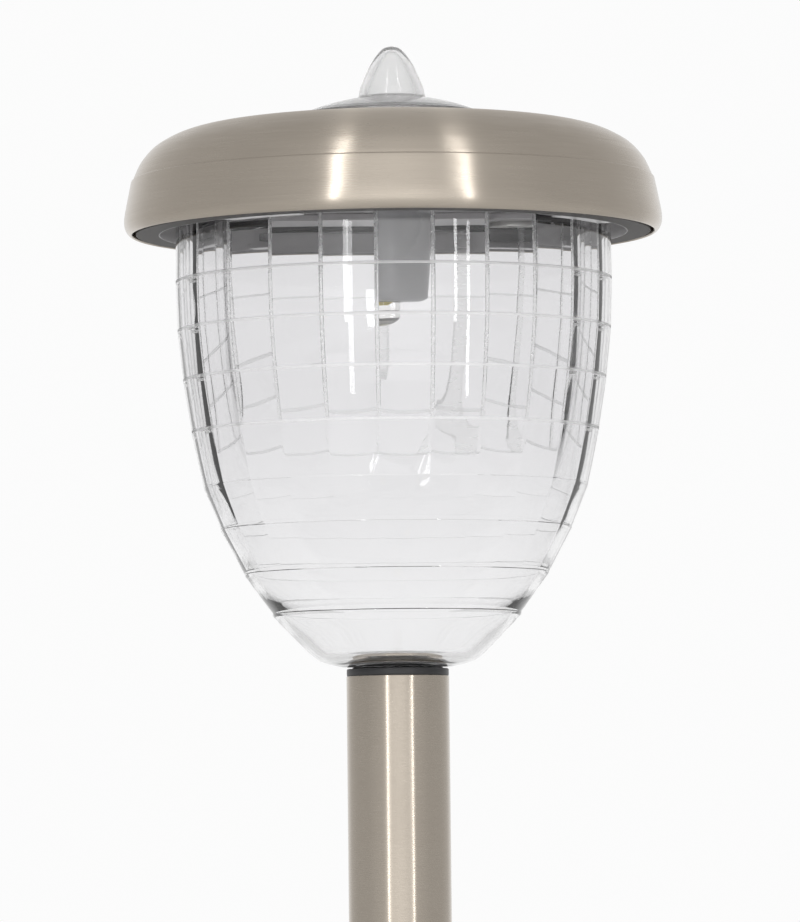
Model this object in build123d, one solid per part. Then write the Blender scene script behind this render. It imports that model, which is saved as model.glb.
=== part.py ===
"""Solar garden light: spike, pole, clear lens and a twist-off solar head.

Millimetres. Z is up, the origin is on the axis at the soil line, and -Y is the front.
The head and the lens are drawn about the cap's rim (z = 0 there) and lifted by rim_z.
"""
from build123d import *
import os
from math import cos, radians, sin, sqrt

# ------------------------------------------------------------ driving sizes
rim_z = 369.0             # lower edge of the cap above the soil line
total_top = 420.7         # tip of the finial above the soil line

# pole, collar and spike
pole_r = 14.0
pole_wall = 0.8
pole_inner_r = pole_r - pole_wall
plug_clearance = 0.08     # radial running clearance of both push fits
collar_flange = 2.0
collar_flange_r = 13.9
collar_depth = 22.0
spigot_r = 12.0
spigot_wall = 2.6
spigot_length = 18.0
spike_flange = 3.0
spike_flange_r = 13.9
spike_plug_length = 35.0
spike_plug_wall = 2.6
spike_depth = 140.0
spike_top_half = 13.5
spike_tip_half = 1.2
spike_web = 2.6

# lens, about the rim plane
lens_wall = 2.6
lens_top = 6.0
lens_floor = -118.5
lens_inner_floor = -114.6
lens_rings = [            # (height, outer radius) at each ring groove
    (-13.0, 59.6),
    (-26.4, 59.2),
    (-39.9, 57.8),
    (-54.0, 55.6),
    (-68.8, 52.5),
    (-80.5, 47.9),
    (-92.7, 41.6),
    (-103.6, 33.9),
]
groove_half = 0.35        # half width of a ring groove
groove_depth = 0.35
flute_count = 24
flute_phase = -4.5        # degrees, puts a flute edge just left of the front
lug_count = 4
lug_first = 57.0          # degrees, direction of the first bayonet lug
lug_half = 7.0            # degrees
lug_reach = 3.2
lug_z = (2.0, 4.2)

# cap, about the rim plane
cap_wall = 0.8
cap_widest = (73.5, 3.0)
cap_edge = (71.6, 0.0)    # trimmed edge, turned in under the skirt
cap_inner_edge = (71.3, 0.75)
cap_step_low = (71.5, 14.4)
cap_step_high = (70.9, 15.2)
cap_shoulder = [(68.5, 20.2), (64.0, 24.6), (55.5, 28.2), (41.0, 30.1)]
cap_seat = (26.0, 31.2)
cap_hole_r = 22.6

# crown cover, about the rim plane
gasket_thick = 0.5
gasket_r = 24.0
crown_r = 25.2
crown_rim = 1.0
crown_wall = 1.8
crown_apex = 37.9         # where its dome would meet the axis
finial_r = 9.1
finial_shoulder = (7.9, 42.0)
finial_waist = (5.3, 47.4)
finial_tip = total_top - rim_z
finial_wall = 2.1
finial_top_wall = 1.6
plug_ring_r = 22.3
plug_ring_wall = 1.4
plug_ring_bottom = 28.4
boss_circle = 18.4
boss_r = 2.6
boss_bottom = 24.0
screw_r = 1.4
screw_grip = 7.0          # length of screw inside its boss
slot_width = 0.7
slot_depth = 0.8

# housing tray, about the rim plane
tray_r = 65.9
collar_inner_r = 63.9
tray_bottom = 0.1
tray_low = 8.0            # underside of the plate
tray_high = 10.5          # top of the plate
flange_r = 70.3           # closes the cap's mouth, inside its edge
flange_top = 1.7
ledge_inner_r = 59.9
ledge_top = 1.6
ledge_span = (-12.0, 10.0)    # degrees about a lug's direction
ledge_stop = (8.2, 4.6)       # degrees from a lug's direction, and its top
tower_half = 13.0
tower_wall = 2.0
tower_top = 26.6
window_half = 10.5
window_z = (14.0, 19.5)
rib_directions = (0, 45, 135, 180, 225, 315)
rib_reach = (44.0, 62.0)
rib_half = 0.8
rib_top = 22.0
column_r = 4.0
screw_head_r = 2.7
screw_head = 2.4
screw_recess = 3.0
head_play = 0.2
holder_hole_r = 4.0
seal_r = (57.2, 60.5)
seal_gap = 0.3

# solar panel
panel_side = 30.0
board_thick = 1.6
cell_count = 4
cell_thick = 0.3
cell_reach = 14.0         # half the width of the row of cells
cell_gap = 0.6
cell_half_length = 13.5
resin_side = 29.0
resin_thick = 1.3

# electronics
circuit_centre_y = -35.0
circuit_size = (30.0, 20.0, 1.2)
circuit_z = 15.0
circuit_post = (12.0, -42.0, 2.0)      # x either side, y, radius
chip_corner = (-9.5, -36.0)
chip_size = (5.0, 4.0, 1.5)
coil_centre = (7.0, -38.0)
coil_flange_r = 3.4
coil_r = 2.8
coil_height = 5.0
coil_flange = 0.8
switch_size = (13.0, 7.0)
switch_cavity = 2.0
knob_size = (4.4, 3.4)
knob_travel = 4.0
knob_tip_z = 5.6
knob_root = 1.6           # how far the knob reaches into the switch
knob_play = 0.2
knob_groove_pitch = 1.3
knob_groove = (0.25, 0.5)     # half width and depth
wire_r = 0.6
wire_end_y = -28.0        # where the panel's and the LED's wires meet the board
panel_wire_x = 6.0
led_wire_x = 9.3
led_wire_turn_y = -7.0
led_wire_turn_z = 11.0
battery_wire_x = 27.0
battery_wire_end = (12.0, -40.0)

# light source
led_r = 2.5
led_flange_r = 2.9
led_flange = 1.0
led_seat_z = -15.0
led_tip_z = -23.6
lead_offset = 1.27
lead_half = 0.25
lead_length = 7.0
stalk_end_z = -19.0
stalk_bore_play = 0.05
stalk_outline = [(10.0, 6.8), (6.4, 5.6), (5.6, -18.0), (4.8, -19.0)]

# battery bay
battery_y = 30.5
battery_r = 7.15
battery_z = 18.6
battery_ends = (-23.5, 25.0)
nub_r = 2.7
nub_length = 1.2
contact_half = 5.0
contact_z = (12.0, 24.0)
contact_thick = 0.4
tab_width = 2.6
tab_end = 12.0            # how far a contact's tab reaches from the battery's axis
tab_z = (15.8, 16.2)
spring_seat_x = -28.0     # face of the negative contact
positive_tab_x = (battery_ends[1] + nub_length, battery_ends[1] + nub_length + tab_width)
negative_tab_x = (spring_seat_x - contact_thick, spring_seat_x - contact_thick + tab_width)
spring_pitch = 1.3
spring_r = 3.6
strand_r = 0.35
bay_half = (30.2, 8.4)
bay_wall = 1.2
bay_top = 19.0
bay_opening = (54.0, 14.0)
notch_play = 0.2

# battery door
door_play = 0.3
door_top = tray_low - 0.1
door_thick = 1.8
door_x = (-30.0, 36.0)
door_half_y = 9.2
door_corner_r = 5.0
door_rib = 2.0
saddle_x = 15.0
saddle_half = (1.0, 5.0)
saddle_top = 13.0
grip_grooves = (-24.0, -20.0, -16.0)
grip_groove = (0.5, 5.0, 0.6)     # half width, half length, depth
door_screw_x = 33.0
door_screw_r = 1.25
door_screw_head = (2.5, 1.5)
door_screw_top = 14.5
door_boss = (3.2, 17.0)
door_bore = (1.35, 16.0)

os.makedirs("parts", exist_ok=True)


# ------------------------------------------------------------ helpers
def in_section(points):
    """(radius, height) pairs as points of the XZ plane."""
    return [(radius, 0, height) for radius, height in points]


def turned(outline):
    """Solid of revolution about Z from a closed outline of (radius, height) corners."""
    return revolve(make_face(Polyline(*in_section(outline), close=True)), Axis.Z)


def ring(outer_r, inner_r, low, high):
    """Plain ring between two heights."""
    return turned([(inner_r, low), (outer_r, low), (outer_r, high), (inner_r, high)])


def rod(radius, low, high, x=0.0, y=0.0):
    """Upright cylinder between two heights."""
    return Pos(x, y, low) * Cylinder(radius, high - low, align=(Align.CENTER, Align.CENTER, Align.MIN))


def block(x_span, y_span, z_span):
    """Box between two corners."""
    spans = (x_span, y_span, z_span)
    centre = [(low + high) / 2 for low, high in spans]
    return Pos(*centre) * Box(*[high - low for low, high in spans])


def arc_piece(inner_r, outer_r, low, high, start_deg, end_deg):
    """Part of a ring between two directions, less than half a turn apart."""
    far = 2 * outer_r
    start = (far * cos(radians(start_deg)), far * sin(radians(start_deg)), low)
    end = (far * cos(radians(end_deg)), far * sin(radians(end_deg)), low)
    wedge = extrude(make_face(Polyline((0, 0, low), start, end, close=True)), high - low, dir=(0, 0, 1))
    return ring(outer_r, inner_r, low, high) & wedge


def around(count, first_deg=0.0):
    """Evenly spaced directions in degrees."""
    return [first_deg + index * 360 / count for index in range(count)]


def wire(*points, bend):
    """Round wire along straight runs with equal bends."""
    path = FilletPolyline(*points, radius=bend)
    start = Plane(origin=path @ 0, z_dir=path % 0)
    return sweep(start * Circle(wire_r), path=path)


def save(name, shape, lift=0.0):
    """Write one node."""
    export_step(Pos(0, 0, lift) * shape, f"parts/{name}.step")


# ------------------------------------------------------------ spike, pole and collar
pole_top = rim_z + lens_floor - collar_flange - seal_gap


def ground_spike():
    tapered = [(-spike_top_half, 0), (spike_top_half, 0), (spike_tip_half, -spike_depth),
               (-spike_tip_half, -spike_depth)]
    fin = make_face(Polyline(*in_section(tapered), close=True))
    fins = extrude(fin, spike_web / 2, dir=(0, 1, 0), both=True)
    plug_r = pole_inner_r - plug_clearance
    plug_top = spike_flange + spike_plug_length
    return (
        fins
        + Rot(0, 0, 90) * fins
        + rod(spike_flange_r, 0, spike_flange)
        + ring(plug_r, plug_r - spike_plug_wall, spike_flange, plug_top)
    )


def pole_tube():
    return ring(pole_r, pole_inner_r, spike_flange, pole_top)


def pole_collar():
    bore_r = spigot_r + plug_clearance
    return turned([
        (bore_r, pole_top - collar_depth),
        (pole_inner_r, pole_top - collar_depth),
        (pole_inner_r, pole_top),
        (collar_flange_r, pole_top),
        (collar_flange_r, pole_top + collar_flange),
        (bore_r, pole_top + collar_flange),
    ])


# ------------------------------------------------------------ lens
def lens_outline():
    """Outer wall from the top edge down, with a shallow groove at each ring."""
    outline = [(lens_rings[0][1] - 0.2, lens_top)]
    for height, radius in lens_rings:
        outline += [
            (radius, height + groove_half),
            (radius - groove_depth, height),
            (radius, height - groove_half),
        ]
    return outline + [(24.0, -114.4), (20.0, -117.0), (14.5, lens_floor)]


def flute_section(height, radius):
    """Regular polygon whose corners are the flute edges."""
    return Pos(0, 0, height) * RegularPolygon(radius, flute_count, rotation=flute_phase)


def lens():
    end = lens_floor - spigot_length
    shell = turned(lens_outline() + [(spigot_r, lens_floor), (spigot_r, end), (0, end), (0, lens_top)])
    sections = [flute_section(lens_top + 1, lens_rings[0][1] - lens_wall)]
    sections += [flute_section(height, radius - lens_wall) for height, radius in lens_rings]
    sections += [flute_section(lens_inner_floor, 20.5)]
    cavity = loft(sections, ruled=True)
    body = shell - cavity - rod(spigot_r - spigot_wall, end, lens_floor)
    wall_r = lens_rings[0][1] - 1.0
    for direction in around(lug_count, lug_first):
        body += arc_piece(wall_r, wall_r + 1.0 + lug_reach, *lug_z, direction - lug_half, direction + lug_half)
    return body


# ------------------------------------------------------------ cap
def shifted_in(points, distance):
    """A copy of an open outline, moved to its inner side by a distance."""
    moved = []
    for index, (radius, height) in enumerate(points):
        before = points[max(index - 1, 0)]
        after = points[min(index + 1, len(points) - 1)]
        run_r = after[0] - before[0]
        run_z = after[1] - before[1]
        length = sqrt(run_r ** 2 + run_z ** 2)
        moved.append((radius - distance * run_z / length, height + distance * run_r / length))
    return moved


def cap_curve(edge, widest, low, shoulder, seat):
    """Edges of one side of the cap's wall, from its trimmed edge to the hole."""
    points = in_section([edge, widest, low, *shoulder, seat, (cap_hole_r, seat[1])])
    edge_at, widest_at, low_at, step_at = points[:4]
    seat_at, hole_at = points[-2:]
    lip = Spline(edge_at, widest_at, tangents=[(1, 0, 0.25), (0, 0, 1)])
    dome = Spline(*points[3:-1], tangents=[(-0.25, 0, 1), (-1, 0, 0.04)])
    return [lip, Line(widest_at, low_at), Line(low_at, step_at), dome, Line(seat_at, hole_at)]


def steel_cap():
    outer_shoulder = [cap_step_high, *cap_shoulder]
    inner_shoulder = shifted_in([*outer_shoulder, cap_seat], cap_wall)[:-1]
    inner_widest = (cap_widest[0] - cap_wall, cap_widest[1] + cap_wall / 4)
    inner_low = (cap_step_low[0] - cap_wall, cap_step_low[1] - cap_wall / 2)
    inner_seat = (cap_seat[0], cap_seat[1] - cap_wall)
    outer = cap_curve(cap_edge, cap_widest, cap_step_low, outer_shoulder, cap_seat)
    inner = cap_curve(cap_inner_edge, inner_widest, inner_low, inner_shoulder, inner_seat)
    ends = [Line(outer[0] @ 0, inner[0] @ 0), Line(outer[-1] @ 1, inner[-1] @ 1)]
    return revolve(make_face([*outer, *inner, *ends]), Axis.Z)


# ------------------------------------------------------------ crown cover, gasket and panel
crown_low = cap_seat[1] + gasket_thick


def crown_dome_z(radius, inset=0.0):
    """Height of the crown's shallow spherical dome."""
    rim_top = crown_low + crown_rim
    drop = crown_apex - rim_top
    sphere_r = (crown_r ** 2 + drop ** 2) / (2 * drop)
    return crown_apex - sphere_r + sqrt((sphere_r - inset) ** 2 - radius ** 2)


def crown_cover():
    ring_inner = plug_ring_r - plug_ring_wall
    hollow_r = finial_r - finial_wall
    mid_r = (crown_r + finial_r) / 2
    low, rim, foot, shoulder, waist, tip = in_section([
        (crown_r, crown_low),
        (crown_r, crown_low + crown_rim),
        (finial_r, crown_dome_z(finial_r)),
        finial_shoulder,
        finial_waist,
        (0, finial_tip),
    ])
    top, neck, inner_foot, inner_rim = in_section([
        (0, finial_tip - finial_top_wall),
        (finial_shoulder[0] - finial_wall, finial_shoulder[1] - finial_wall / 3),
        (hollow_r, crown_dome_z(hollow_r, crown_wall)),
        (ring_inner, crown_dome_z(ring_inner, crown_wall)),
    ])
    dome_mid, inner_mid = in_section([
        (mid_r, crown_dome_z(mid_r)),
        (mid_r - 2, crown_dome_z(mid_r - 2, crown_wall)),
    ])
    edges = [
        Line(low, rim),
        ThreePointArc(rim, dome_mid, foot),
        Spline(foot, shoulder, waist, tip, tangents=[(-0.1, 0, 1), (-1, 0, 0)]),
        Line(tip, top),
        Spline(top, neck, inner_foot, tangents=[(1, 0, 0), (0, 0, -1)]),
        ThreePointArc(inner_foot, inner_mid, inner_rim),
        Polyline(
            inner_rim,
            *in_section([
                (ring_inner, plug_ring_bottom),
                (plug_ring_r, plug_ring_bottom),
                (plug_ring_r, crown_low),
            ]),
            low,
        ),
    ]
    cover = revolve(make_face(edges), Axis.Z)
    boss_top = crown_dome_z(boss_circle, crown_wall / 2)
    for direction in around(4):
        x = boss_circle * cos(radians(direction))
        y = boss_circle * sin(radians(direction))
        cover += rod(boss_r, boss_bottom, boss_top, x, y)
        cover -= rod(screw_r, boss_bottom, boss_top - crown_wall, x, y)
    return cover


def crown_gasket():
    return ring(gasket_r, cap_hole_r, cap_seat[1], crown_low)


def panel_cells():
    """Dark strips side by side on the panel's board."""
    pitch = 2 * cell_reach / cell_count
    low = tower_top + board_thick
    strips = []
    for index in range(cell_count):
        left = index * pitch - cell_reach + cell_gap / 2
        x_span = (left, left + pitch - cell_gap)
        strips.append(block(x_span, (-cell_half_length, cell_half_length), (low, low + cell_thick)))
    return strips


def solar_panel_board():
    half = panel_side / 2
    return block((-half, half), (-half, half), (tower_top, tower_top + board_thick))


def panel_resin():
    half = resin_side / 2
    low = tower_top + board_thick
    resin = block((-half, half), (-half, half), (low, low + resin_thick))
    for strip in panel_cells():
        resin -= strip
    return resin


# ------------------------------------------------------------ housing tray
def screw_places():
    return [
        (boss_circle * cos(radians(direction)), boss_circle * sin(radians(direction)))
        for direction in around(4)
    ]


def bayonet_ledges():
    """Ledges under the lens's lugs, each with a stop at its locked end."""
    ledges = []
    root_r = (collar_inner_r + tray_r) / 2
    for direction in around(lug_count, lug_first):
        start, end = (direction + angle for angle in ledge_span)
        ledges.append(arc_piece(ledge_inner_r, root_r, tray_bottom, ledge_top, start, end))
        stop_from, stop_top = ledge_stop
        ledges.append(arc_piece(ledge_inner_r, root_r, tray_bottom, stop_top, direction + stop_from, end))
    return ledges


def battery_bay():
    """Four walls round the battery, notched for the contacts' tabs."""
    outer = block((-bay_half[0], bay_half[0]), (battery_y - bay_half[1], battery_y + bay_half[1]),
                  (tray_high, bay_top))
    inner_x = bay_half[0] - bay_wall
    inner_y = bay_half[1] - bay_wall
    bay = outer - block((-inner_x, inner_x), (battery_y - inner_y, battery_y + inner_y), (tray_high, bay_top))
    for tab in (positive_tab_x, negative_tab_x):
        notch_x = (tab[0] - notch_play, tab[1] + notch_play)
        bay -= block(notch_x, (battery_y - bay_half[1], battery_y - inner_y), (tab_z[0] - notch_play, bay_top))
    return bay


def panel_tower():
    """Square tower that carries the solar panel, with a window for the wires."""
    inner_half = tower_half - tower_wall
    tower = block((-tower_half, tower_half), (-tower_half, tower_half), (tray_high, tower_top))
    tower -= block((-inner_half, inner_half), (-inner_half, inner_half), (tray_high, tower_top))
    return tower - block((-window_half, window_half), (-tower_half, -inner_half), window_z)


def knob_slot(z_span):
    """Space that the switch's knob slides in."""
    half_x = (knob_size[0] + knob_travel) / 2 + knob_play
    half_y = knob_size[1] / 2 + knob_play
    return block((-half_x, half_x), (circuit_centre_y - half_y, circuit_centre_y + half_y), z_span)


def housing_tray():
    tray = turned([
        (0, tray_low), (collar_inner_r, tray_low), (collar_inner_r, tray_bottom), (flange_r, tray_bottom),
        (flange_r, flange_top), (tray_r, flange_top), (tray_r, tray_high), (0, tray_high),
    ])
    for ledge in bayonet_ledges():
        tray += ledge
    tray += panel_tower()
    tray += battery_bay()
    for direction in rib_directions:
        tray += Rot(0, 0, direction) * block(rib_reach, (-rib_half, rib_half), (tray_high, rib_top))
    for x, y in screw_places():
        tray += rod(column_r, tray_high, boss_bottom, x, y)
        tray -= rod(screw_head_r + head_play, tray_low, tray_low + screw_recess, x, y)
        tray -= rod(screw_r, tray_low, boss_bottom, x, y)
    post_x, post_y, post_r = circuit_post
    for x in (-post_x, post_x):
        tray += rod(post_r, tray_high, circuit_z, x, post_y)
    boss_radius, boss_top = door_boss
    bore_r, bore_top = door_bore
    tray += rod(boss_radius, tray_high, boss_top, door_screw_x, battery_y)
    tray -= rod(bore_r, tray_low, bore_top, door_screw_x, battery_y)
    tray -= rod(holder_hole_r, tray_low, tray_high)
    half_x = bay_opening[0] / 2
    half_y = bay_opening[1] / 2
    tray -= block((-half_x, half_x), (battery_y - half_y, battery_y + half_y), (tray_low, tray_high))
    return tray - knob_slot((tray_low, tray_high))


def lens_seal():
    return ring(seal_r[1], seal_r[0], lens_top + seal_gap, tray_low)


def slotted_screw(head_low, head_high, head_r, shank_r, shank_top, x, y):
    """Pan-head screw pointing up, with a cross in its head."""
    screw = rod(head_r, head_low, head_high, x, y) + rod(shank_r, head_high, shank_top, x, y)
    for turn in (0, 90):
        slot = Rot(0, 0, turn) * Box(head_r * 1.3, slot_width, 2 * slot_depth)
        screw -= Pos(x, y, head_low) * slot
    return screw


def cap_screws():
    head_high = tray_low + screw_recess
    shank_top = boss_bottom + screw_grip
    return [
        slotted_screw(head_high - screw_head, head_high, screw_head_r, screw_r, shank_top, x, y)
        for x, y in screw_places()
    ]


# ------------------------------------------------------------ light source
def led_holder():
    bore = led_r + stalk_bore_play
    return turned([
        (holder_hole_r, tray_low), (stalk_outline[0][0], tray_low), *stalk_outline,
        (bore, stalk_end_z), (bore, led_seat_z), (holder_hole_r, led_seat_z),
    ])


def led():
    body = rod(led_r, led_tip_z + led_r, led_seat_z)
    body += rod(led_flange_r, led_seat_z, led_seat_z + led_flange)
    return body + Pos(0, 0, led_tip_z + led_r) * Sphere(led_r)


def led_leads():
    low = led_seat_z + led_flange
    return [
        block((x - lead_half, x + lead_half), (-lead_half, lead_half), (low, low + lead_length))
        for x in (-lead_offset, lead_offset)
    ]


# ------------------------------------------------------------ electronics
circuit_top = circuit_z + circuit_size[2]
wire_z = circuit_top + wire_r


def circuit_board():
    half_x = circuit_size[0] / 2
    half_y = circuit_size[1] / 2
    ys = (circuit_centre_y - half_y, circuit_centre_y + half_y)
    return block((-half_x, half_x), ys, (circuit_z, circuit_top))


def driver_chip():
    x, y = chip_corner
    length, width, height = chip_size
    return block((x, x + length), (y, y + width), (circuit_top, circuit_top + height))


def inductor():
    top = circuit_top + coil_height
    coil = rod(coil_r, circuit_top, top, *coil_centre)
    coil += rod(coil_flange_r, circuit_top, circuit_top + coil_flange, *coil_centre)
    return coil + rod(coil_flange_r, top - coil_flange, top, *coil_centre)


def switch_body():
    half_x = switch_size[0] / 2
    half_y = switch_size[1] / 2
    ys = (circuit_centre_y - half_y, circuit_centre_y + half_y)
    shell = block((-half_x, half_x), ys, (tray_high, circuit_z))
    return shell - knob_slot((tray_high, tray_high + switch_cavity))


def switch_knob():
    centre_x = -knob_travel / 2
    half_x = knob_size[0] / 2
    half_y = knob_size[1] / 2
    ys = (circuit_centre_y - half_y, circuit_centre_y + half_y)
    knob = block((centre_x - half_x, centre_x + half_x), ys, (knob_tip_z, tray_high + knob_root))
    groove_half, groove_deep = knob_groove
    for offset in (-knob_groove_pitch, 0, knob_groove_pitch):
        x = centre_x + offset
        knob -= block((x - groove_half, x + groove_half), ys, (knob_tip_z, knob_tip_z + groove_deep))
    return knob


def panel_wires():
    return [
        wire((x, 0, tower_top), (x, 0, wire_z), (x, wire_end_y, wire_z), bend=5)
        for x in (-panel_wire_x, panel_wire_x)
    ]


def led_wires():
    lead_top = led_seat_z + led_flange + lead_length
    return [
        wire(
            (side * lead_offset, 0, lead_top),
            (side * lead_offset, 0, led_wire_turn_z),
            (side * led_wire_x, led_wire_turn_y, wire_z),
            (side * led_wire_x, wire_end_y, wire_z),
            bend=3,
        )
        for side in (-1, 1)
    ]


def battery_wires():
    start_y = battery_y - tab_end + 1.0
    end_x, end_y = battery_wire_end
    return [
        wire(
            (side * battery_wire_x, start_y, wire_z),
            (side * battery_wire_x, end_y, wire_z),
            (side * end_x, end_y, wire_z),
            bend=6,
        )
        for side in (-1, 1)
    ]


# ------------------------------------------------------------ battery and its door
def lying_rod(radius, x_span):
    """Cylinder along X on the battery's axis."""
    length = x_span[1] - x_span[0]
    return Pos(x_span[0], battery_y, battery_z) * Rot(0, 90, 0) * Cylinder(
        radius, length, align=(Align.CENTER, Align.CENTER, Align.MIN)
    )


def battery():
    nub = (battery_ends[1], battery_ends[1] + nub_length)
    return lying_rod(battery_r, battery_ends) + lying_rod(nub_r, nub)


def contact(plate_x, tab_x):
    """Upright plate with a soldering tab that reaches out of the bay."""
    plate = block(plate_x, (battery_y - contact_half, battery_y + contact_half), contact_z)
    tab_ys = (battery_y - tab_end, battery_y - contact_half + contact_thick)
    return plate + block(tab_x, tab_ys, tab_z)


def positive_contact():
    face = positive_tab_x[0]
    return contact((face, face + contact_thick), positive_tab_x)


def negative_contact():
    return contact((spring_seat_x - contact_thick, spring_seat_x), negative_tab_x)


def battery_spring():
    height = battery_ends[0] - spring_seat_x
    path = Helix(pitch=spring_pitch, height=height - 2 * strand_r, radius=spring_r)
    start = Plane(origin=path @ 0, z_dir=path % 0)
    coil = sweep(start * Circle(strand_r), path=path)
    return Pos(spring_seat_x + strand_r, battery_y, battery_z) * Rot(0, 90, 0) * coil


def door_pad():
    """Hollow pad that fills the bay's opening, with two saddles for the battery."""
    half_x = bay_opening[0] / 2 - door_play
    half_y = bay_opening[1] / 2 - door_play
    in_x = half_x - door_rib
    in_y = half_y - door_rib
    pad = block((-half_x, half_x), (battery_y - half_y, battery_y + half_y), (door_top, tray_high))
    pad -= block((-in_x, in_x), (battery_y - in_y, battery_y + in_y), (door_top, tray_high))
    saddle_ys = (battery_y - saddle_half[1], battery_y + saddle_half[1])
    for x in (-saddle_x, saddle_x):
        saddle = block((x - saddle_half[0], x + saddle_half[0]), saddle_ys, (door_top, saddle_top))
        pad += saddle - lying_rod(battery_r + door_play, battery_ends)
    return pad


def battery_door():
    low = door_top - door_thick
    centre_x = (door_x[0] + door_x[1]) / 2
    outline = RectangleRounded(door_x[1] - door_x[0], 2 * door_half_y, door_corner_r)
    door = extrude(Pos(centre_x, battery_y, low) * outline, door_thick, dir=(0, 0, 1)) + door_pad()
    groove_half, groove_reach, groove_deep = grip_groove
    groove_ys = (battery_y - groove_reach, battery_y + groove_reach)
    for x in grip_grooves:
        door -= block((x - groove_half, x + groove_half), groove_ys, (low, low + groove_deep))
    return door - rod(door_screw_r, low, door_top, door_screw_x, battery_y)


def door_screw():
    head_r, head_deep = door_screw_head
    low = door_top - door_thick
    return slotted_screw(low - head_deep, low, head_r, door_screw_r, door_screw_top, door_screw_x, battery_y)


# ------------------------------------------------------------ write every node
save("ground_spike", ground_spike())
save("pole_tube", pole_tube())
save("pole_collar", pole_collar())

for rim_part in (
    lens, steel_cap, crown_cover, crown_gasket, solar_panel_board, panel_resin, housing_tray,
    lens_seal, led_holder, led, circuit_board, driver_chip, inductor, switch_body, switch_knob,
    battery, positive_contact, negative_contact, battery_spring, battery_door, door_screw,
):
    save(rim_part.__name__, rim_part(), rim_z)

groups = {
    "solar_cells": panel_cells(),
    "cap_screws": cap_screws(),
    "led_leads": led_leads(),
    "panel_wires": panel_wires(),
    "led_wires": led_wires(),
    "battery_wires": battery_wires(),
}
for name, solids in groups.items():
    save(name, Compound([solid for shape in solids for solid in shape.solids()]), rim_z)
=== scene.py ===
"""Looks of the solar garden light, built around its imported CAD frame. Metres, Z up, front at -Y."""

from math import cos, degrees, hypot, pi, radians, sin, sqrt

import bmesh
import bpy
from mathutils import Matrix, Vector


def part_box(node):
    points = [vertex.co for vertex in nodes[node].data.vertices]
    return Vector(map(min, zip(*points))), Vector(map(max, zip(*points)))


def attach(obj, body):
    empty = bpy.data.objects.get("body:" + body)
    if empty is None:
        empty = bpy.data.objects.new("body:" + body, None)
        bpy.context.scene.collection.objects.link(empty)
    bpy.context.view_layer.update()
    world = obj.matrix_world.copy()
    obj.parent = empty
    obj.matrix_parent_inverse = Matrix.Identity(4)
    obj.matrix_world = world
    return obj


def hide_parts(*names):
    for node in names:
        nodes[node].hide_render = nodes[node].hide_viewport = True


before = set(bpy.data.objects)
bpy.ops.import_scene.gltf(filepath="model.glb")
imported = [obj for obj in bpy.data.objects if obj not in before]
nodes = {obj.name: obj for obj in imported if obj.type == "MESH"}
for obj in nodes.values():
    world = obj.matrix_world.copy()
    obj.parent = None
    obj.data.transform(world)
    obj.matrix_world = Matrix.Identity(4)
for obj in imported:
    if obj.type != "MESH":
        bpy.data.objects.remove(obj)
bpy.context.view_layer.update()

MM = 0.001

# ------------------------------------------------------------ places taken from the frame
rim_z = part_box("steel_cap")[0].z
finial_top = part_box("crown_cover")[1].z
led_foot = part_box("led")[0].z
pole_low, pole_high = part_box("pole_tube")
spike_low, spike_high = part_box("ground_spike")

# ------------------------------------------------------------ driving sizes
# In millimetres, with heights measured from the cap's rim. Outlines are (radius, height).
# cap
CAP_WALL = 0.8
CAP_LIP = [(71.35, 0.4), (71.6, 0.02), (72.35, 0.45), (73.1, 1.5), (73.5, 3.0)]
CAP_SKIRT = [(73.35, 5.5), (72.6, 9.4), (71.62, 14.2)]
CAP_STEP = [(71.5, 14.6), (71.0, 14.95)]
CAP_DOME = [(70.75, 15.8), (68.5, 20.2), (64.0, 24.6), (55.5, 28.2),
            (41.0, 30.1), (26.0, 31.15), (22.7, 31.2)]

# lens; its rings are (height, radius), and angles are in degrees
LENS_RINGS = [(-13.0, 59.6), (-26.4, 59.2), (-39.9, 57.8), (-54.0, 55.6),
              (-68.8, 52.5), (-80.5, 47.9), (-92.7, 41.6), (-103.6, 33.9)]
LENS_TOP = (59.4, 6.0)
LENS_FOOT = [(24.0, -114.4), (20.0, -117.0), (14.5, -118.45)]
LENS_EDGE = 0.4
LENS_WALL = 2.6
INNER_FLOOR = -115.9
INNER_FOOT = [(22.3, -112.4), (18.9, -114.7), (14.2, INNER_FLOOR)]
GROOVE_HALF = 0.38
GROOVE_SLOPE = 0.16
GROOVE_DEPTH = 0.06
WIDE_GROOVES_ABOVE = -60
SPIGOT_R = 12.0
SPIGOT_BORE_R = 9.4
SPIGOT_END = -136.5
FLUTES = 24
FLUTE_PHASE = -4.5
FLUTE_CROWN = 0.14
FLUTE_OFFSETS = (1.0, 2.2, 3.5, 4.8, 6.1)
FLUTE_FADE = (-96.0, -40.0)
FLUTES_STOP_R = 24
RIB_HEIGHT = 0.38
RIB_HALF = 0.56
RIB_SHARES = (0.0, 0.3, 0.6, 0.85, 1.0)
RIB_FADE = (-60.0, -38.0)
RIB_FROST_END = -55.0
LUG_DIRECTIONS = (57, 147, 237, 327)
LUG_HALF = 7.0
LUG_Z = (2.0, 4.2)
LUG_REACH = 3.2
LUG_EDGE = 0.35

# spike
SPIKE_TOP_HALF = 13.5
SPIKE_TIP_HALF = 1.2
SPIKE_WEB = 2.6
SPIKE_WEB_TAPER = 0.25
SPIKE_FLANGE = 3.0
SPIKE_FLANGE_R = 13.9
SPIKE_FLANGE_EDGE = 0.6
SPIKE_PLUG_R = 13.1
SPIKE_PLUG_WALL = 2.6
SPIKE_PLUG_SUNK = 0.5
SPIKE_PLUG_EDGE = 0.5

# pole
POLE_WALL = 0.8
POLE_EDGE = 0.25

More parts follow.
